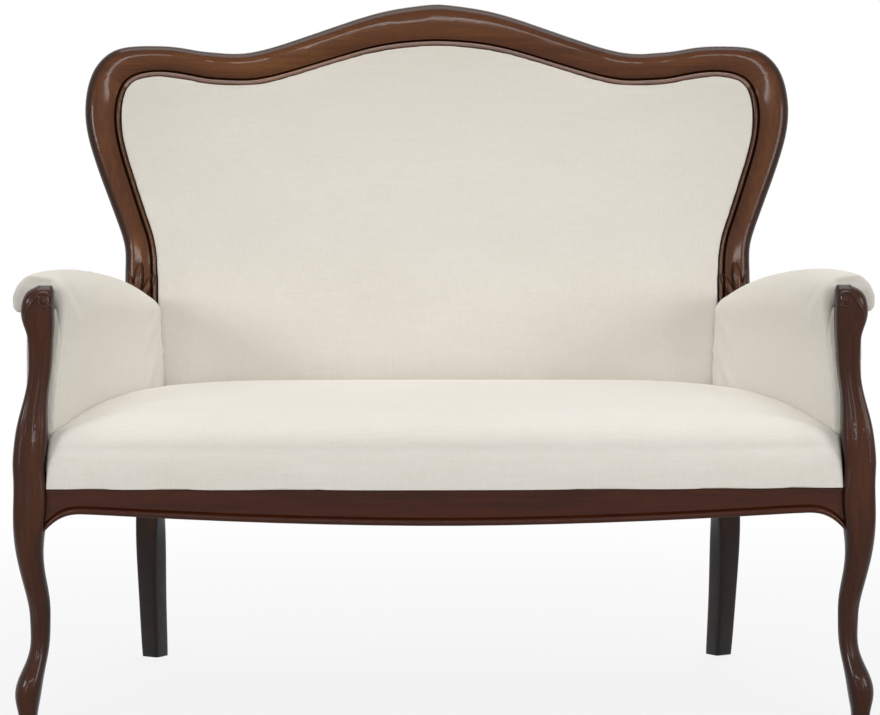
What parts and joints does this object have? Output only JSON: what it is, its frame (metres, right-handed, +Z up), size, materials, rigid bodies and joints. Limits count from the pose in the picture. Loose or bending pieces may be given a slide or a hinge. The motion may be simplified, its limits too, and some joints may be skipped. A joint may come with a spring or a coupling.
{
  "type": "settee",
  "caption": "Upholstered two-seat settee with an arched, moulded dark-wood back frame, carved arm posts on cabriole legs, rolled padded arms and a tight sprung seat.",
  "frame": {"origin": "on the floor under the middle of the overall box", "axes": "+X to the viewer's right across the width, +Y from the front to the back, +Z up"},
  "size_m": [1.262, 0.683, 1.0556],
  "materials": {
    "show_wood": "dark red-brown polished mahogany, glossy",
    "frame_wood": "plain unfinished beech",
    "screw_steel": "plain zinc-coated steel",
    "spring_steel": "dark tempered steel wire",
    "hessian": "open plain-weave jute",
    "webbing": "woven jute strap",
    "foam": "open-cell upholstery foam",
    "cover_fabric": "cream fine-weave cloth, matt",
    "dust_cloth": "thin black cambric",
    "board": "thin fibre board"
  },
  "bodies": {
    "root": {"front_post_left": "show_wood", "front_post_right": "show_wood", "rear_post_left": "show_wood", "rear_post_right": "show_wood", "crest_rail": "show_wood", "crest_dowels": "frame_wood", "front_seat_rail": "show_wood", "rear_seat_rail": "show_wood", "side_seat_rail_left": "show_wood", "side_seat_rail_right": "show_wood", "back_stay_rail": "frame_wood", "centre_brace": "frame_wood", "corner_blocks": "frame_wood", "corner_screws": "screw_steel", "arm_rail_left": "frame_wood", "arm_rail_right": "frame_wood", "arm_stay_rail_left": "frame_wood", "arm_stay_rail_right": "frame_wood", "seat_springs": "spring_steel", "spring_clips": "spring_steel", "seat_hessian": "hessian", "seat_foam": "foam", "seat_cover": "cover_fabric", "dust_cover": "dust_cloth", "back_webbing": "webbing", "back_hessian": "hessian", "back_foam": "foam", "back_cover": "cover_fabric", "outside_back_board": "board", "outside_back_cover": "cover_fabric", "arm_webbing_left": "webbing", "arm_webbing_right": "webbing", "arm_foam_left": "foam", "arm_foam_right": "foam", "arm_cover_left": "cover_fabric", "arm_cover_right": "cover_fabric", "arm_facing_left": "cover_fabric", "arm_facing_right": "cover_fabric", "outside_arm_panel_left": "cover_fabric", "outside_arm_panel_right": "cover_fabric"}
  },
  "joints": []
}
